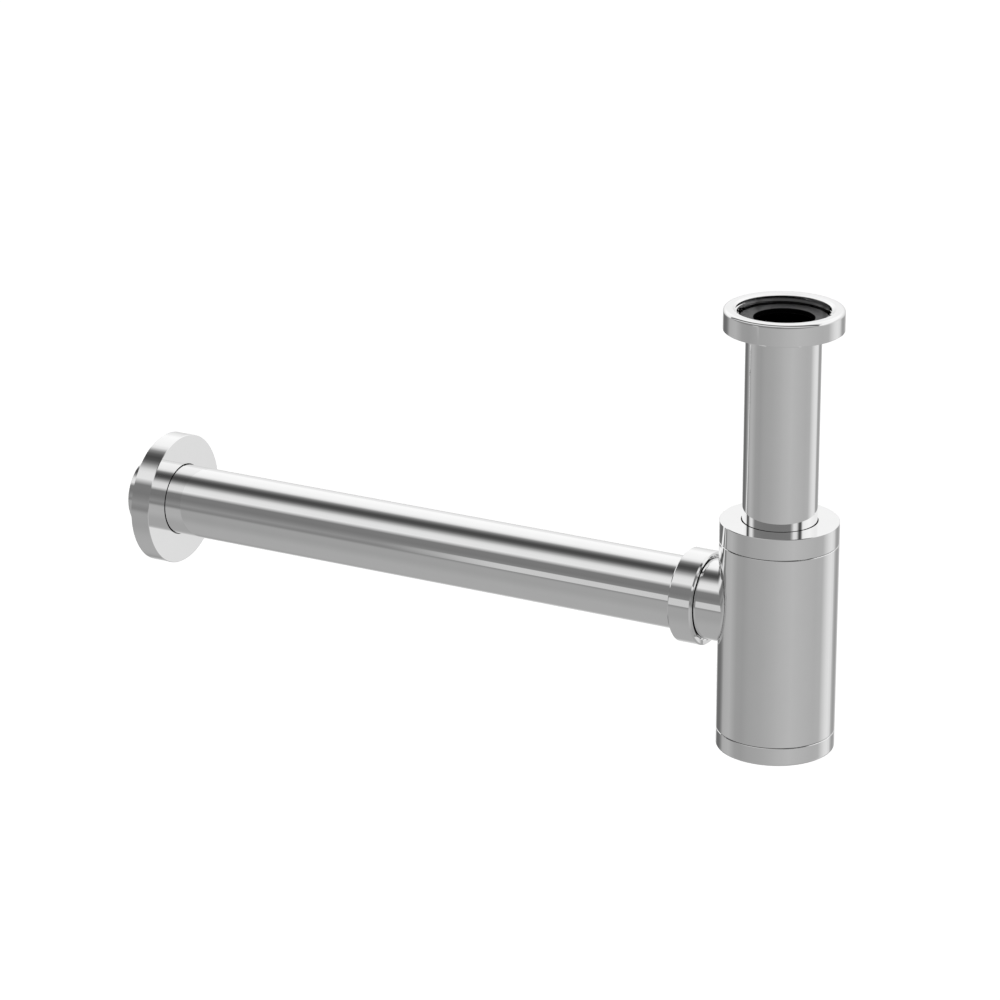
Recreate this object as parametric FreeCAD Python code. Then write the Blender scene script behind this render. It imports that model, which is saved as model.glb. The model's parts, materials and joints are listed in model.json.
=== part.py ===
"""Bottle trap for a wash basin: 1 1/4 inch inlet, 32 mm wall arm.

The bottle's axis is Z and the arm leaves towards -X.  Heights are worked out from the
bottle's top face; the finished pieces are then moved so that the origin is the centre
of the inlet gasket's upper face, where the basin's waste is seated.
"""
import FreeCAD
import Part
import math
import os

V = FreeCAD.Vector
ORIGIN = V(0, 0, 0)
UP = V(0, 0, 1)
ALONG_Y = V(0, 1, 0)

# ---- Driving dimensions, in millimetres ----

# tubes
TUBE_D = 32.0
TUBE_WALL = 1.2

# bottle: clear space round the tail tube, then the barrel's wall
BOTTLE_SPACE = 8.0
BARREL_WALL = 1.5
BOTTLE_HEIGHT = 102.6
CAP_HEIGHT = 9.4
CAP_WEB = 2.4
CAP_WALL = 2.5
CUP_HEIGHT = 8.2
CUP_WALL = 2.4
CUP_FLOOR = 2.2
CUP_COLLAR = 9.2
CUP_RING_HEIGHT = 11.0
CUP_RING_WALL = 2.0
NECK_RING_DEPTH = 10.0
SEAM_GAP = 0.15
SEAM_CHAMFER = 0.2
FOOT_RADIUS = 1.0

# inlet: tail tube, gasket and captive nut
INLET_NUT_FOOT = 84.0
INLET_NUT_HEIGHT = 9.3
INLET_NUT_WALL = 4.545
INLET_NUT_WEB = 1.4
INLET_NUT_RIM = 1.4
INLET_THREAD_D = TUBE_D + 9.91
INLET_THREAD_PITCH = 2.309
INLET_THREAD_DEPTH = 1.165
INLET_THREAD_ROOT = 0.1
WHITWORTH_ANGLE = 27.5
GASKET_D = TUBE_D + 6.0
GASKET_BORE = TUBE_D - 6.5
GASKET_THICKNESS = 2.2
FLANGE_LIP = 1.3
DIP_CLEARANCE = 16.6

# metric threads inside the bottle and on the arm
THREAD_PITCH = 1.5
METRIC_ANGLE = 30.0
THREAD_START = 57.0
THREAD_RELIEF = 1.9
JACKET_WALL = 0.4
LINER_WALL = 0.8

# outlet: distances beyond the bottle's wall
OUTLET_DEPTH = 41.4
NIPPLE_WALL = 1.65
NIPPLE_HEAD = 4.0
OUTLET_THREAD_STEP = 3.0
OUTLET_NUT_WALL = 1.6
OUTLET_NUT_GAP = 6.1
OUTLET_NUT_LENGTH = 10.9
ARM_TUBE_GAP = 5.5
ARM_TUBE_END = 319.5
ARM_STOP_DEPTH = 4.0
NUT_WEB = 1.5

# wall flange
WALL_FLANGE_D = TUBE_D + 27.4
WALL_FLANGE_DEPTH = 9.1
WALL_FLANGE_SHELL = 1.5
WALL_STUB = 20.0
HUB_WALL = 3.8
HUB_LENGTH = 7.2

# rings and seals
SLIP_RING_THICKNESS = 1.0
CONE_SEAL_HEIGHT = 5.8
CONE_SEAL_LAND = 1.2
CONE_SEAL_TOE = 1.4
ARM_SEAL_HEIGHT = 3.0
ARM_SEAL_TOE = 0.5
ARM_SEAL_PROUD = 1.7
CUP_O_RING_SECTION = 1.6
FLANGE_O_RING_SECTION = 1.96

# clearances
TUBE_HOLE_GAP = 0.4
RUNNING_FIT = 0.07
THREAD_GAP = 0.15
FACE_GAP = 0.05
LOOSE_GAP = 0.2
LIP_GAP = 0.3
EDGE_BREAK = 0.3


# ---- Small helpers ----

def turned(points):
    """A solid of revolution about Z from (radius, z) corners."""
    corners = [V(r, 0, z) for r, z in points]
    outline = Part.makePolygon(corners + corners[:1])
    return Part.Face(outline).revolve(ORIGIN, UP, 360)


def rod(radius, low, high):
    return Part.makeCylinder(radius, high - low, V(0, 0, low), UP)


def tube(outer, inner, low, high, chamfer=0.0):
    """A plain tube with its four end edges broken."""
    c = chamfer
    points = [
        (inner + c, low), (outer - c, low), (outer, low + c), (outer, high - c),
        (outer - c, high), (inner + c, high), (inner, high - c), (inner, low + c),
    ]
    if c == 0.0:
        points = [(inner, low), (outer, low), (outer, high), (inner, high)]
    return turned(points)


def ring_of_rubber(centre_r, section, z):
    return Part.makeTorus(centre_r, section / 2, V(0, 0, z), UP)


def rounded_rim(solid, rim_r, z, radius):
    """Rounds the circular edge of radius rim_r at height z."""
    rim = [
        e for e in solid.Edges
        if abs(e.BoundBox.ZMax - z) < 0.01 and abs(e.BoundBox.ZMin - z) < 0.01
        and abs(e.BoundBox.XMax - rim_r) < 0.01
    ]
    return solid.makeFillet(radius, rim)


def thread_form(root_r, crest_r, crest_flat, angle, pitch, start, turns):
    """A right-hand helical ridge, wide at root_r and narrow at crest_r."""
    rise = (crest_r - root_r) * math.tan(math.radians(angle))
    narrow = crest_flat / 2
    wide = narrow + rise
    corners = [
        V(root_r, 0, start - wide), V(crest_r, 0, start - narrow),
        V(crest_r, 0, start + narrow), V(root_r, 0, start + wide),
    ]
    profile = Part.makePolygon(corners + corners[:1])
    spine = Part.Wire(Part.makeHelix(pitch, turns * pitch, root_r).Edges)
    spine.translate(V(0, 0, start))
    sweep = Part.BRepOffsetAPI.MakePipeShell(spine)
    sweep.setFrenetMode(True)
    sweep.add(profile)
    sweep.build()
    sweep.makeSolid()
    ridge = sweep.shape()
    ridge.rotate(ORIGIN, UP, THREAD_START)
    return ridge if ridge.Volume > 0 else ridge.reversed()


def full_turns(pitch, phase, low, high):
    """Start and whole number of turns that run past both ends of a stretch."""
    start = phase + pitch * math.floor((low - 1.2 * pitch - phase) / pitch)
    return start, math.ceil((high + 1.2 * pitch - start) / pitch)


def outside_thread(major_r, pitch, phase, low, high):
    """A threaded jacket, to be fused on a stem."""
    minor_r = outside_minor(major_r, pitch)
    inner_r = minor_r - JACKET_WALL
    start, turns = full_turns(pitch, phase, low, high)
    blank = tube(minor_r, inner_r, low - 3 * pitch, high + 3 * pitch)
    ridge = thread_form(
        minor_r - 0.05 * pitch, major_r, pitch / 8, METRIC_ANGLE, pitch, start, turns
    )
    return blank.fuse(ridge).common(tube(major_r + 1, inner_r - 1, low, high))


def inside_thread(major_r, pitch, phase, low, high):
    """A threaded liner, to be fused in a bore."""
    minor_r = inside_minor(major_r, pitch)
    ease = THREAD_GAP / math.cos(math.radians(METRIC_ANGLE))
    crest_r = major_r + THREAD_GAP
    flat = pitch / 8 + 2 * (ease - THREAD_GAP * math.tan(math.radians(METRIC_ANGLE)))
    outer_r = crest_r + LINER_WALL
    start, turns = full_turns(pitch, phase, low, high)
    blank = tube(outer_r, minor_r, low - 3 * pitch, high + 3 * pitch)
    groove = thread_form(
        minor_r - 0.05, crest_r, flat, METRIC_ANGLE, pitch, start, turns
    )
    return blank.cut(groove).common(tube(outer_r + 1, minor_r - 1, low, high))


def outside_minor(major_r, pitch):
    return major_r - 0.6134 * pitch


def inside_minor(major_r, pitch):
    return major_r - 0.5413 * pitch + THREAD_GAP


def stem_r(major_r, pitch):
    """Radius of the stem that carries a threaded jacket."""
    return outside_minor(major_r, pitch) - JACKET_WALL / 2


def socket_r(major_r):
    """Radius of the bore that carries a threaded liner."""
    return major_r + THREAD_GAP + LINER_WALL / 2


def along_arm(shape):
    """Turns a shape built about Z so that it points along the arm, towards -X."""
    placed = shape.copy()
    placed.rotate(ORIGIN, ALONG_Y, -90)
    placed.translate(V(0, 0, -OUTLET_DEPTH))
    return placed


# ---- Sizes worked out from the driving dimensions ----

# tubes and bottle
TUBE_R = TUBE_D / 2
TUBE_BORE_R = TUBE_R - TUBE_WALL
TUBE_HOLE_R = TUBE_R + TUBE_HOLE_GAP
BARREL_BORE_R = TUBE_R + BOTTLE_SPACE
BOTTLE_R = BARREL_BORE_R + BARREL_WALL
BARREL_TOP = -CAP_HEIGHT - SEAM_GAP
CUP_TOP = -BOTTLE_HEIGHT + CUP_HEIGHT
BARREL_FOOT = CUP_TOP + SEAM_GAP

# inlet, upwards from the nut's foot
WEB_TOP = INLET_NUT_FOOT + INLET_NUT_WEB
LIP_FOOT = WEB_TOP + LIP_GAP
LIP_TOP = LIP_FOOT + FLANGE_LIP
GASKET_TOP = LIP_TOP + GASKET_THICKNESS
INLET_NUT_TOP = INLET_NUT_FOOT + INLET_NUT_HEIGHT
DIP_FOOT = -BOTTLE_HEIGHT + DIP_CLEARANCE

# neck joint, downwards from the cap's web
NECK_MAJOR_R = BOTTLE_R - CAP_WALL
NECK_STEM_R = stem_r(NECK_MAJOR_R, THREAD_PITCH)
CAP_BORE_R = socket_r(NECK_MAJOR_R)
SLIP_RING_TOP = -CAP_WEB - FACE_GAP
SLIP_RING_FOOT = SLIP_RING_TOP - SLIP_RING_THICKNESS
CONE_TOP = SLIP_RING_FOOT - FACE_GAP
CONE_FOOT = CONE_TOP - CONE_SEAL_HEIGHT
CONE_R = NECK_STEM_R - 1.0
CONE_TOE_R = TUBE_R + CONE_SEAL_TOE
NECK_TOP = CONE_TOP - 0.3
NECK_THREAD_LOW = BARREL_TOP + 0.6

# cup joint
CUP_MAJOR_R = BARREL_BORE_R - CUP_RING_WALL
CUP_STEM_R = stem_r(CUP_MAJOR_R, THREAD_PITCH)
CUP_RING_BORE = socket_r(CUP_MAJOR_R)
GLAND_R = CUP_MAJOR_R + CUP_O_RING_SECTION - 0.4
GLAND_HEIGHT = CUP_O_RING_SECTION + 0.2
O_RING_CENTRE_R = GLAND_R - CUP_O_RING_SECTION / 2 - LOOSE_GAP

# arm joint, inwards from the nut's web
OUTLET_MAJOR_R = TUBE_R + OUTLET_THREAD_STEP
OUTLET_STEM_R = stem_r(OUTLET_MAJOR_R, THREAD_PITCH)
OUTLET_NUT_BORE = socket_r(OUTLET_MAJOR_R)
OUTLET_NUT_START = BOTTLE_R + OUTLET_NUT_GAP
OUTLET_NUT_END = OUTLET_NUT_START + OUTLET_NUT_LENGTH
NIPPLE_R = TUBE_R + NIPPLE_WALL
ARM_SEAL_R = OUTLET_STEM_R - 0.7
ARM_RING_END = OUTLET_NUT_END - NUT_WEB - FACE_GAP
ARM_RING_START = ARM_RING_END - SLIP_RING_THICKNESS
ARM_SEAL_END = ARM_RING_START - FACE_GAP
ARM_SEAL_START = ARM_SEAL_END - ARM_SEAL_HEIGHT
NIPPLE_END = ARM_SEAL_END - ARM_SEAL_PROUD
NIPPLE_HEAD_FOOT = NIPPLE_END - NIPPLE_HEAD
ARM_TUBE_START = BOTTLE_R + ARM_TUBE_GAP

# wall flange
WALL_FLANGE_START = ARM_TUBE_END - WALL_STUB
GROOVE_START = WALL_FLANGE_START + 3.0
GROOVE_WIDTH = FLANGE_O_RING_SECTION + 0.3
GRIP_CENTRE_R = TUBE_R + RUNNING_FIT + FLANGE_O_RING_SECTION / 2


# ---- Inlet ----

def inlet_tube():
    """Tail tube with a turned lip; its foot dips into the bottle."""
    lip_r = GASKET_D / 2
    c = EDGE_BREAK
    return turned([
        (TUBE_BORE_R + c, DIP_FOOT), (TUBE_R - c, DIP_FOOT), (TUBE_R, DIP_FOOT + c),
        (TUBE_R, LIP_FOOT - c), (TUBE_R + c, LIP_FOOT), (lip_r, LIP_FOOT), (lip_r, LIP_TOP),
        (TUBE_BORE_R + c, LIP_TOP), (TUBE_BORE_R, LIP_TOP - c), (TUBE_BORE_R, DIP_FOOT + c),
    ])


def inlet_gasket():
    return tube(GASKET_D / 2, GASKET_BORE / 2, LIP_TOP, GASKET_TOP, EDGE_BREAK)


def inlet_nut():
    """Captive union nut: web below the lip, relief, then a parallel pipe thread."""
    major_r = INLET_THREAD_D / 2
    outer_r = major_r + INLET_NUT_WALL
    minor_r = major_r - INLET_THREAD_DEPTH
    relief_r = major_r + 0.1
    mouth_r = major_r + 0.55
    mouth_foot = INLET_NUT_TOP - (mouth_r - minor_r) * 0.4
    relief_top = GASKET_TOP + EDGE_BREAK
    c = SEAM_CHAMFER
    start, turns = full_turns(INLET_THREAD_PITCH, GASKET_TOP, relief_top, INLET_NUT_TOP)
    groove = thread_form(
        minor_r - 0.05, major_r, INLET_THREAD_ROOT, WHITWORTH_ANGLE,
        INLET_THREAD_PITCH, start, turns,
    )
    reach = 4 * INLET_THREAD_PITCH
    blank = tube(outer_r, minor_r, relief_top - reach, INLET_NUT_TOP + reach)
    threaded = blank.cut(groove).common(turned([
        (minor_r - 1, relief_top), (outer_r + 1, relief_top), (outer_r + 1, INLET_NUT_TOP),
        (mouth_r, INLET_NUT_TOP), (minor_r, mouth_foot), (minor_r - 1, mouth_foot),
    ]))
    holder = turned([
        (TUBE_HOLE_R, INLET_NUT_FOOT), (outer_r - c, INLET_NUT_FOOT),
        (outer_r, INLET_NUT_FOOT + c), (outer_r, relief_top),
        (relief_r, relief_top), (relief_r, WEB_TOP), (TUBE_HOLE_R, WEB_TOP),
    ])
    nut = holder.fuse(threaded).removeSplitter()
    return rounded_rim(nut, outer_r, INLET_NUT_TOP, INLET_NUT_RIM)


# ---- Bottle top ----

def top_cap():
    relief_foot = -CAP_WEB - THREAD_RELIEF
    c = SEAM_CHAMFER
    shell = turned([
        (TUBE_HOLE_R, 0), (BOTTLE_R - c, 0), (BOTTLE_R, -c),
        (BOTTLE_R, -CAP_HEIGHT + c), (BOTTLE_R - c, -CAP_HEIGHT),
        (CAP_BORE_R, -CAP_HEIGHT), (CAP_BORE_R, -CAP_WEB), (TUBE_HOLE_R, -CAP_WEB),
    ])
    return shell.fuse(inside_thread(
        NECK_MAJOR_R, THREAD_PITCH, BARREL_TOP, -CAP_HEIGHT + EDGE_BREAK, relief_foot
    ))


def top_slip_ring():
    return tube(CONE_R, TUBE_R + LOOSE_GAP, SLIP_RING_FOOT, SLIP_RING_TOP, 0.1)


def top_cone_seal():
    """Tapered rubber seal that grips the tail tube."""
    bore = TUBE_R + RUNNING_FIT
    return turned([
        (bore, CONE_FOOT), (CONE_TOE_R, CONE_FOOT), (CONE_R, CONE_TOP - CONE_SEAL_LAND),
        (CONE_R, CONE_TOP), (bore, CONE_TOP),
    ])


def neck_ring():
    """Ring brazed in the barrel: outside thread, seal seat and guide bore."""
    seat_gap = LOOSE_GAP
    guide_r = TUBE_HOLE_R
    seat_top_r = CONE_R + seat_gap
    seat_top = CONE_TOP - CONE_SEAL_LAND
    seat_foot_r = CONE_TOE_R + seat_gap
    guide_top = CONE_FOOT - seat_gap
    guide_foot = guide_top - 2.0
    skirt_foot = BARREL_TOP - NECK_RING_DEPTH
    skirt_r = BARREL_BORE_R - 1.6
    core = turned([
        (seat_top_r, NECK_TOP), (NECK_STEM_R, NECK_TOP), (NECK_STEM_R, BARREL_TOP),
        (BARREL_BORE_R, BARREL_TOP), (BARREL_BORE_R, skirt_foot),
        (skirt_r, skirt_foot), (skirt_r, guide_foot - 1.5), (guide_r, guide_foot),
        (guide_r, guide_top), (seat_foot_r, guide_top), (seat_foot_r, CONE_FOOT),
        (seat_top_r, seat_top),
    ])
    return core.fuse(outside_thread(
        NECK_MAJOR_R, THREAD_PITCH, BARREL_TOP, NECK_THREAD_LOW, NECK_TOP - EDGE_BREAK
    ))


# ---- Bottle ----

def bottle_barrel():
    """Drawn tube with the hole for the outlet nipple."""
    c = SEAM_CHAMFER
    shell = turned([
        (BARREL_BORE_R, BARREL_FOOT), (BOTTLE_R - c, BARREL_FOOT), (BOTTLE_R, BARREL_FOOT + c),
        (BOTTLE_R, BARREL_TOP - c), (BOTTLE_R - c, BARREL_TOP), (BARREL_BORE_R, BARREL_TOP),
    ])
    return shell.cut(along_arm(rod(NIPPLE_R, 0, BOTTLE_R + BARREL_WALL)))


def outlet_nipple():
    """Spigot shaped to the barrel's bore, with a stop lip and a threaded head."""
    bore_r = TUBE_R + RUNNING_FIT
    stop = ARM_TUBE_START - ARM_STOP_DEPTH
    seat_gap = LOOSE_GAP / 2
    seat_toe_r = TUBE_R + ARM_SEAL_TOE + seat_gap
    seat_foot = ARM_SEAL_START - seat_gap
    core = turned([
        (TUBE_BORE_R, 0), (NIPPLE_R, 0), (NIPPLE_R, NIPPLE_HEAD_FOOT),
        (OUTLET_STEM_R, NIPPLE_HEAD_FOOT + 0.3),
        (OUTLET_STEM_R, NIPPLE_END),
        (ARM_SEAL_R + seat_gap, NIPPLE_END), (seat_toe_r, ARM_SEAL_START),
        (seat_toe_r, seat_foot), (bore_r, seat_foot), (bore_r, stop), (TUBE_BORE_R, stop),
    ])
    spigot = core.fuse(outside_thread(
        OUTLET_MAJOR_R, THREAD_PITCH, OUTLET_NUT_START, NIPPLE_HEAD_FOOT,
        NIPPLE_END - EDGE_BREAK,
    ))
    inside = rod(BARREL_BORE_R, -BOTTLE_HEIGHT, 0)
    return along_arm(spigot).cut(inside)


def cup_ring():
    """Ring brazed in the foot of the barrel, with the cup's thread and O-ring gland."""
    top = BARREL_FOOT + CUP_RING_HEIGHT
    gland_top = BARREL_FOOT + GLAND_HEIGHT
    sleeve = turned([
        (GLAND_R, BARREL_FOOT), (BARREL_BORE_R, BARREL_FOOT), (BARREL_BORE_R, top - 1.0),
        (BARREL_BORE_R - 1.0, top), (CUP_RING_BORE, top), (CUP_RING_BORE, gland_top),
        (GLAND_R, gland_top),
    ])
    return sleeve.fuse(inside_thread(
        CUP_MAJOR_R, THREAD_PITCH, CUP_TOP, gland_top + EDGE_BREAK, top - EDGE_BREAK
    ))


def cup_o_ring():
    centre_z = CUP_TOP + FACE_GAP + CUP_O_RING_SECTION / 2
    return ring_of_rubber(O_RING_CENTRE_R, CUP_O_RING_SECTION, centre_z)


def bottom_cup():
    """Cleaning cup with a threaded collar."""
    foot = -BOTTLE_HEIGHT
    floor = foot + CUP_FLOOR
    collar_top = CUP_TOP + CUP_COLLAR
    bore_r = CUP_STEM_R - CUP_WALL
    neck_r = O_RING_CENTRE_R - CUP_O_RING_SECTION / 2 - LOOSE_GAP / 2
    neck_top = BARREL_FOOT + GLAND_HEIGHT
    c = SEAM_CHAMFER
    core = turned([
        (0, foot), (BOTTLE_R, foot), (BOTTLE_R, CUP_TOP - c), (BOTTLE_R - c, CUP_TOP),
        (neck_r, CUP_TOP), (neck_r, neck_top), (CUP_STEM_R, neck_top),
        (CUP_STEM_R, collar_top), (bore_r, collar_top),
        (bore_r, floor + 2.0), (bore_r - 2.0, floor), (0, floor),
    ])
    core = rounded_rim(core, BOTTLE_R, foot, FOOT_RADIUS)
    return core.fuse(outside_thread(
        CUP_MAJOR_R, THREAD_PITCH, CUP_TOP, neck_top, collar_top - EDGE_BREAK
    ))


# ---- Arm ----

def outlet_nut():
    outer_r = OUTLET_MAJOR_R + OUTLET_NUT_WALL
    web = OUTLET_NUT_END - NUT_WEB
    lip = 0.6
    shell = turned([
        (OUTLET_NUT_BORE, OUTLET_NUT_START), (outer_r - lip, OUTLET_NUT_START),
        (outer_r, OUTLET_NUT_START + lip), (outer_r, OUTLET_NUT_END - lip),
        (outer_r - lip, OUTLET_NUT_END), (TUBE_HOLE_R, OUTLET_NUT_END), (TUBE_HOLE_R, web),
        (OUTLET_NUT_BORE, web),
    ])
    return along_arm(shell.fuse(inside_thread(
        OUTLET_MAJOR_R, THREAD_PITCH, OUTLET_NUT_START, OUTLET_NUT_START, web - THREAD_RELIEF
    )))


def outlet_slip_ring():
    ring = tube(ARM_SEAL_R, TUBE_R + LOOSE_GAP, ARM_RING_START, ARM_RING_END, 0.1)
    return along_arm(ring)


def outlet_cone_seal():
    """Tapered rubber seal in the nipple's mouth."""
    bore = TUBE_R + RUNNING_FIT
    toe_r = TUBE_R + ARM_SEAL_TOE
    land = NIPPLE_END + LOOSE_GAP
    return along_arm(turned([
        (bore, ARM_SEAL_START), (toe_r, ARM_SEAL_START), (ARM_SEAL_R, land),
        (ARM_SEAL_R, ARM_SEAL_END), (bore, ARM_SEAL_END),
    ]))


def wall_tube():
    return along_arm(tube(TUBE_R, TUBE_BORE_R, ARM_TUBE_START, ARM_TUBE_END, EDGE_BREAK))


# ---- Wall flange ----

def wall_flange():
    """Deep cover plate: thin shell with a hub that holds the O-ring."""
    outer_r = WALL_FLANGE_D / 2
    shell_r = outer_r - WALL_FLANGE_SHELL
    back = WALL_FLANGE_START + WALL_FLANGE_DEPTH
    inner_face = WALL_FLANGE_START + WALL_FLANGE_SHELL
    hub_r = TUBE_HOLE_R + HUB_WALL
    hub_end = WALL_FLANGE_START + HUB_LENGTH
    groove_r = GRIP_CENTRE_R + FLANGE_O_RING_SECTION / 2 + LOOSE_GAP
    c = SEAM_CHAMFER
    return along_arm(turned([
        (TUBE_HOLE_R, WALL_FLANGE_START), (outer_r - c, WALL_FLANGE_START),
        (outer_r, WALL_FLANGE_START + c), (outer_r, back), (shell_r, back),
        (shell_r, inner_face), (hub_r, inner_face), (hub_r, hub_end), (TUBE_HOLE_R, hub_end),
        (TUBE_HOLE_R, GROOVE_START + GROOVE_WIDTH), (groove_r, GROOVE_START + GROOVE_WIDTH),
        (groove_r, GROOVE_START), (TUBE_HOLE_R, GROOVE_START),
    ]))


def flange_o_ring():
    middle = GROOVE_START + GROOVE_WIDTH / 2
    return along_arm(ring_of_rubber(GRIP_CENTRE_R, FLANGE_O_RING_SECTION, middle))


PIECES = [
    inlet_tube, inlet_gasket, inlet_nut,
    top_cap, top_slip_ring, top_cone_seal, neck_ring,
    bottle_barrel, outlet_nipple, cup_ring, cup_o_ring, bottom_cup,
    outlet_nut, outlet_slip_ring, outlet_cone_seal, wall_tube,
    wall_flange, flange_o_ring,
]

os.makedirs("parts", exist_ok=True)
for piece in PIECES:
    solid = piece()
    solid.translate(V(0, 0, -GASKET_TOP))
    box = solid.BoundBox
    print(
        piece.__name__, "valid" if solid.isValid() else "INVALID", len(solid.Solids), "solid(s)",
        round(solid.Volume), "mm3", "z", round(box.ZMin, 2), round(box.ZMax, 2),
    )
    solid.exportStep(os.path.join("parts", piece.__name__ + ".step"))
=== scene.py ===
"""Bottle trap in polished chrome: materials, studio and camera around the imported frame."""
import json
import math

import bpy
from mathutils import Euler, Matrix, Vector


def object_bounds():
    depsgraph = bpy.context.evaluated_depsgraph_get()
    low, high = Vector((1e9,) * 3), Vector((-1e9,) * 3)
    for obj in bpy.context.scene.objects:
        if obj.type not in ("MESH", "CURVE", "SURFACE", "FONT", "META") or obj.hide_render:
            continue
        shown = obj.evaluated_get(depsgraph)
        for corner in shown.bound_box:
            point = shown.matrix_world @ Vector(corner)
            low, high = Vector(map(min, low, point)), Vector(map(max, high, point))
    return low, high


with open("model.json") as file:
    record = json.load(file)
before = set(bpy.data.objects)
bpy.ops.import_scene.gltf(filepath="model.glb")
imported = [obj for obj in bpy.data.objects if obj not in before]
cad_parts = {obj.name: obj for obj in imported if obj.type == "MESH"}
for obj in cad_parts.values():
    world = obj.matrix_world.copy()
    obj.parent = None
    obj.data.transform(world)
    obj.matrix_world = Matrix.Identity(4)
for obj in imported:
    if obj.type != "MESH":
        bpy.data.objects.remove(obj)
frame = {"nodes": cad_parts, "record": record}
CAD_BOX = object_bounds()

# ---- Camera: a long lens, looking down from the front right ----
CAMERA_TURN = 0.49909
CAMERA_DOWN = 0.343574
CAMERA_ROLL = -0.002
CAMERA_LENS = 147.94
CAMERA_PLACE = (0.676646, -1.487914, 0.502940)

# ---- Studio tones: brightness seen in a mirror, 0 to 1, by angle in degrees ----
# The tones were sampled from the reference photo by a scratch script; report.md says so.
# Around the arm's direction: 0 is the front, 90 overhead, 180 the back.
OVERHEAD = [
    (-180, 0.87), (-150, 0.86), (-135, 0.76), (-121, 0.67), (-45, 0.67), (-25, 0.625),
    (-12, 0.50), (0, 0.57), (12, 0.50), (18, 0.475), (34, 0.49), (39, 0.72), (45, 0.92),
    (57, 0.91), (63, 0.85), (69, 0.68), (76, 0.46), (82, 0.325), (89, 0.29), (96, 0.37),
    (103, 0.55), (111, 0.91), (119, 0.985), (150, 1.02), (162, 0.965), (172, 0.92), (180, 0.87),
]
# Around the vertical below the horizon: 0 is +X, 90 the back, -90 the front.
LOW_RING = [
    (-180, 0.69), (-168, 0.70), (-150, 0.62), (-135, 0.61), (-121, 0.635), (-96, 0.655),
    (-73, 0.685), (-61, 0.705), (-38, 0.73), (-14, 0.71), (12, 0.69), (27, 0.70),
    (36, 0.80), (45, 0.87), (55, 0.90), (67, 0.83), (75, 0.62), (86, 0.62),
    (95, 0.72), (106, 0.88), (126, 0.88), (138, 0.43), (155, 0.43), (163, 0.52),
    (171, 0.67), (180, 0.69),
]
FLOOR_TONE = 0.67
# How steeply a ray points down, 0 level and 1 straight down, where the ring and the floor take over.
TO_RING = (0.12, 0.30)
TO_FLOOR = (0.5, 0.85)

DISPLAY_GAMMA = 2.2
WHITE = (1, 1, 1, 1)


def linear(tone):
    """Display brightness to scene light."""
    return tone ** DISPLAY_GAMMA


# ---- Node helpers ----

class Nodes:
    """Short calls for building a node tree."""

    def __init__(self, tree):
        self.tree = tree
        self.links = tree.links

    def add(self, kind, **settings):
        node = self.tree.nodes.new(kind)
        for name, value in settings.items():
            setattr(node, name, value)
        return node

    def wire(self, value, socket):
        if isinstance(value, bpy.types.NodeSocket):
            self.links.new(value, socket)
        else:
            socket.default_value = value

    def math(self, operation, a, b=0.0):
        node = self.add("ShaderNodeMath", operation=operation)
        self.wire(a, node.inputs[0])
        self.wire(b, node.inputs[1])
        return node.outputs[0]

    def blend(self, factor, a, b):
        """Float mix: a at 0, b at 1."""
        node = self.add("ShaderNodeMix", data_type="FLOAT")
        self.wire(factor, node.inputs[0])
        self.wire(a, node.inputs[2])
        self.wire(b, node.inputs[3])
        return node.outputs[0]

    def mix_colour(self, factor, a, b):
        node = self.add("ShaderNodeMix", data_type="RGBA")
        self.wire(factor, node.inputs[0])
        self.wire(a, node.inputs[6])
        self.wire(b, node.inputs[7])
        return node.outputs[2]

    def step(self, value, low, high):
        """0 below low and 1 above high, smooth between."""
        node = self.add("ShaderNodeMapRange", interpolation_type="SMOOTHSTEP")
        self.wire(value, node.inputs[0])
        node.inputs[1].default_value = low
        node.inputs[2].default_value = high
        return node.outputs[0]

    def remap(self, value, low, high, out_low, out_high):
        node = self.add("ShaderNodeMapRange")
        self.wire(value, node.inputs[0])
        for slot, number in zip((1, 2, 3, 4), (low, high, out_low, out_high)):
            node.inputs[slot].default_value = number
        return node.outputs[0]

    def noise(self, vector, scale, detail=3.0, rough=0.5):
        node = self.add("ShaderNodeTexNoise")
        self.wire(vector, node.inputs["Vector"])
        node.inputs["Scale"].default_value = scale
        node.inputs["Detail"].default_value = detail
        node.inputs["Roughness"].default_value = rough
        return node.outputs["Fac"]

    def ramp(self, value, tones):
        """Brightness by angle, from (degrees, tone) stops."""
        node = self.add("ShaderNodeValToRGB")
        stops = node.color_ramp.elements
        while len(stops) < len(tones):
            stops.new(0.5)
        for stop, (degrees, tone) in zip(stops, tones):
            stop.position = (degrees + 180) / 360
        for stop, (degrees, tone) in zip(stops, tones):
            stop.color = (linear(tone),) * 3 + (1,)
        self.wire(value, node.inputs[0])
        return node.outputs[0]


def turn_fraction(nodes, up, across):
    """Angle of (across, up) as a fraction of a turn, 0 at -180 degrees."""
    angle = nodes.math("ARCTAN2", up, across)
    return nodes.math("ADD", nodes.math("DIVIDE", angle, 2 * math.pi), 0.5)


# ---- Studio ----

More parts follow.
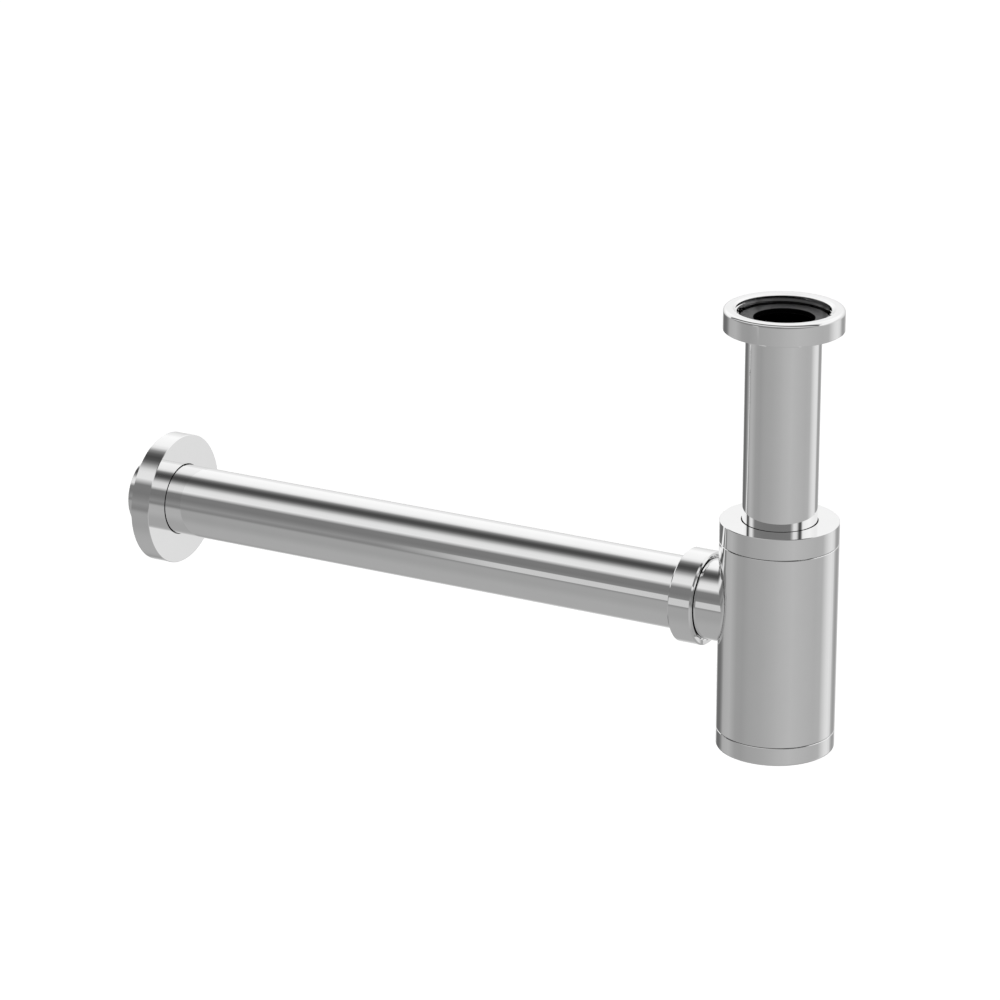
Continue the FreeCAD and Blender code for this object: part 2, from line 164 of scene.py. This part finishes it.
def studio_world():
    """Soft light all round, with the panels that polished chrome mirrors."""
    world = bpy.data.worlds.new("studio")
    world.use_nodes = True
    tree = world.node_tree
    tree.nodes.clear()
    n = Nodes(tree)
    way = n.add("ShaderNodeTexCoord").outputs["Generated"]
    split = n.add("ShaderNodeSeparateXYZ")
    n.wire(way, split.inputs[0])
    x, y, z = split.outputs
    front = n.math("MULTIPLY", y, -1.0)
    down = n.math("MULTIPLY", z, -1.0)
    upper = n.ramp(turn_fraction(n, z, front), OVERHEAD)
    ring = n.ramp(turn_fraction(n, y, x), LOW_RING)
    floor = (linear(FLOOR_TONE),) * 3 + (1,)
    lower = n.mix_colour(n.step(down, *TO_FLOOR), ring, floor)
    mirror = n.mix_colour(n.step(down, *TO_RING), upper, lower)
    seen = n.add("ShaderNodeLightPath").outputs["Is Camera Ray"]
    shown = n.mix_colour(seen, mirror, WHITE)
    light = n.add("ShaderNodeBackground")
    n.wire(shown, light.inputs["Color"])
    light.inputs["Strength"].default_value = 1.0
    end = n.add("ShaderNodeOutputWorld")
    tree.links.new(light.outputs[0], end.inputs["Surface"])
    bpy.context.scene.world = world


FLOOR_DROP = 0.45
FLOOR_REACH = 30.0
FLOOR_PAINT = 0.9
FLOOR_ROUGHNESS = 0.9
FLOOR_GLOW = 0.55


def studio_floor():
    """Pale floor well below the hanging trap."""
    low = CAD_BOX[0][2] - FLOOR_DROP
    r = FLOOR_REACH
    mesh = bpy.data.meshes.new("floor")
    corners = [(-r, -r, low), (r, -r, low), (r, r, low), (-r, r, low)]
    mesh.from_pydata(corners, [], [(0, 1, 2, 3)])
    floor = bpy.data.objects.new("floor", mesh)
    bpy.context.collection.objects.link(floor)
    material = bpy.data.materials.new("floor_paint")
    material.use_nodes = True
    shader = material.node_tree.nodes["Principled BSDF"]
    shader.inputs["Base Color"].default_value = (FLOOR_PAINT,) * 3 + (1,)
    shader.inputs["Roughness"].default_value = FLOOR_ROUGHNESS
    shader.inputs["Emission Color"].default_value = WHITE
    shader.inputs["Emission Strength"].default_value = FLOOR_GLOW
    mesh.materials.append(material)
    floor.visible_glossy = False


CARD_PLACE = -0.89
CARD_SIDES = (-0.67, -0.38)
CARD_HEIGHTS = (-0.31, -0.01)
CARD_FADE = 0.12
CARD_LIGHT = 0.62


def studio_card():
    """Soft card at the left that the arm mirrors next to the bottle."""
    left, right = CARD_SIDES
    low, high = CARD_HEIGHTS
    outline = [(left, low), (right, low), (right, high), (left, high)]
    corners = [(x, CARD_PLACE, z) for x, z in outline]
    mesh = bpy.data.meshes.new("card")
    mesh.from_pydata(corners, [], [(0, 1, 2, 3)])
    card = bpy.data.objects.new("card", mesh)
    bpy.context.collection.objects.link(card)
    material = bpy.data.materials.new("card_cloth")
    material.use_nodes = True
    tree = material.node_tree
    tree.nodes.clear()
    n = Nodes(tree)
    parts = n.add("ShaderNodeSeparateXYZ")
    n.wire(object_place(n), parts.inputs[0])
    across, _, height = parts.outputs
    side = n.step(across, left, left + CARD_FADE)
    foot = n.step(height, low, low + CARD_FADE / 3)
    head = n.step(n.math("MULTIPLY", height, -1.0), -high, CARD_FADE / 3 - high)
    cover = n.math("MULTIPLY", side, n.math("MULTIPLY", foot, head))
    glow = n.add("ShaderNodeEmission")
    glow.inputs["Strength"].default_value = CARD_LIGHT
    clear = n.add("ShaderNodeBsdfTransparent")
    both = n.add("ShaderNodeMixShader")
    n.wire(cover, both.inputs[0])
    tree.links.new(clear.outputs[0], both.inputs[1])
    tree.links.new(glow.outputs[0], both.inputs[2])
    end = n.add("ShaderNodeOutputMaterial")
    tree.links.new(both.outputs[0], end.inputs["Surface"])
    mesh.materials.append(material)
    card.visible_camera = False
    card.visible_shadow = False


def studio_camera():
    data = bpy.data.cameras.new("camera")
    data.lens = CAMERA_LENS
    data.sensor_width = 36.0
    data.clip_end = 50.0
    camera = bpy.data.objects.new("camera", data)
    camera.location = CAMERA_PLACE
    aim = Euler((math.pi / 2 - CAMERA_DOWN, 0, CAMERA_TURN)).to_matrix()
    camera.rotation_euler = (aim @ Matrix.Rotation(CAMERA_ROLL, 3, "Z")).to_euler()
    bpy.context.collection.objects.link(camera)
    bpy.context.scene.camera = camera
    bpy.context.scene.view_settings.view_transform = "Standard"


# ---- Materials ----

def new_material(name):
    material = bpy.data.materials.new(name)
    material.use_nodes = True
    tree = material.node_tree
    shader = tree.nodes["Principled BSDF"]
    return material, Nodes(tree), shader


def object_place(n):
    return n.add("ShaderNodeTexCoord").outputs["Object"]


def surface_bump(n, shader, height, strength, distance):
    bump = n.add("ShaderNodeBump")
    bump.inputs["Strength"].default_value = strength
    bump.inputs["Distance"].default_value = distance
    n.wire(height, bump.inputs["Height"])
    n.wire(bump.outputs[0], shader.inputs["Normal"])


def chrome():
    """Bright nickel-chrome plate with faint polishing haze."""
    material, n, shader = new_material("chrome_plate")
    place = object_place(n)
    haze = n.noise(place, 90.0, 4.0, 0.6)
    fine = n.noise(place, 1400.0, 2.0, 0.5)
    tint = n.mix_colour(haze, (0.90, 0.90, 0.90, 1), (0.94, 0.94, 0.94, 1))
    n.wire(tint, shader.inputs["Base Color"])
    shader.inputs["Metallic"].default_value = 1.0
    rough = n.math("ADD", n.remap(haze, 0.3, 0.7, 0.010, 0.024), n.remap(fine, 0.3, 0.7, 0.0, 0.008))
    n.wire(rough, shader.inputs["Roughness"])
    surface_bump(n, shader, n.noise(place, 55.0, 1.0), 0.012, 0.0005)
    return material


def brass():
    """Turned brass, left unplated inside."""
    material, n, shader = new_material("plain_brass")
    place = object_place(n)
    stain = n.noise(place, 160.0, 5.0, 0.6)
    tint = n.mix_colour(stain, (0.50, 0.36, 0.16, 1), (0.78, 0.60, 0.33, 1))
    n.wire(tint, shader.inputs["Base Color"])
    shader.inputs["Metallic"].default_value = 1.0
    n.wire(n.remap(stain, 0.3, 0.7, 0.22, 0.38), shader.inputs["Roughness"])
    surface_bump(n, shader, n.noise(place, 900.0, 2.0), 0.1, 0.0003)
    return material


PAINTED_SHADE_HOLE_R = 0.0128
PAINTED_SHADE_HOLE_EDGE = 0.0003


def rubber():
    """Moulded rubber with a fine pebble and dust, with painted shade: black and nearly unreflective
    inside the gasket's hole.
    """
    material, n, shader = new_material("black_rubber")
    place = object_place(n)
    dust = n.noise(place, 220.0, 5.0, 0.65)
    moulded = n.mix_colour(dust, (0.020, 0.020, 0.021, 1), (0.055, 0.055, 0.057, 1))
    parts = n.add("ShaderNodeSeparateXYZ")
    n.wire(place, parts.inputs[0])
    squares = [n.math("POWER", parts.outputs[i], 2.0) for i in (0, 1)]
    radius = n.math("SQRT", n.math("ADD", *squares))
    # Painted shade: inside this radius the rubber is painted black, with high roughness and almost
    # no specular, standing in for the shade in the gasket's hole.
    outside = n.step(radius, PAINTED_SHADE_HOLE_R, PAINTED_SHADE_HOLE_R + PAINTED_SHADE_HOLE_EDGE)
    n.wire(n.mix_colour(outside, (0.001, 0.001, 0.001, 1), moulded), shader.inputs["Base Color"])
    n.wire(n.blend(outside, 0.9, n.remap(dust, 0.3, 0.7, 0.32, 0.48)), shader.inputs["Roughness"])
    n.wire(n.blend(outside, 0.02, 0.5), shader.inputs["Specular IOR Level"])
    surface_bump(n, shader, n.noise(place, 2600.0, 2.0), 0.12, 0.0002)
    return material


def nylon():
    """Natural nylon with a faint moulding grain."""
    material, n, shader = new_material("white_nylon")
    place = object_place(n)
    grain = n.noise(place, 300.0, 4.0, 0.6)
    tint = n.mix_colour(grain, (0.70, 0.69, 0.64, 1), (0.82, 0.81, 0.77, 1))
    n.wire(tint, shader.inputs["Base Color"])
    n.wire(n.remap(grain, 0.3, 0.7, 0.38, 0.52), shader.inputs["Roughness"])
    surface_bump(n, shader, grain, 0.08, 0.0002)
    return material


def dress_frame():
    """Gives every CAD node its finish."""
    finishes = {
        "chrome_plate": chrome(), "plain_brass": brass(),
        "black_rubber": rubber(), "white_nylon": nylon(),
    }
    for part in frame["record"]["subparts"]:
        node = frame["nodes"][part["node"]]
        node.data.materials.clear()
        node.data.materials.append(finishes[part["material_slot"]])


studio_world()
studio_floor()
studio_card()
studio_camera()
dress_frame()
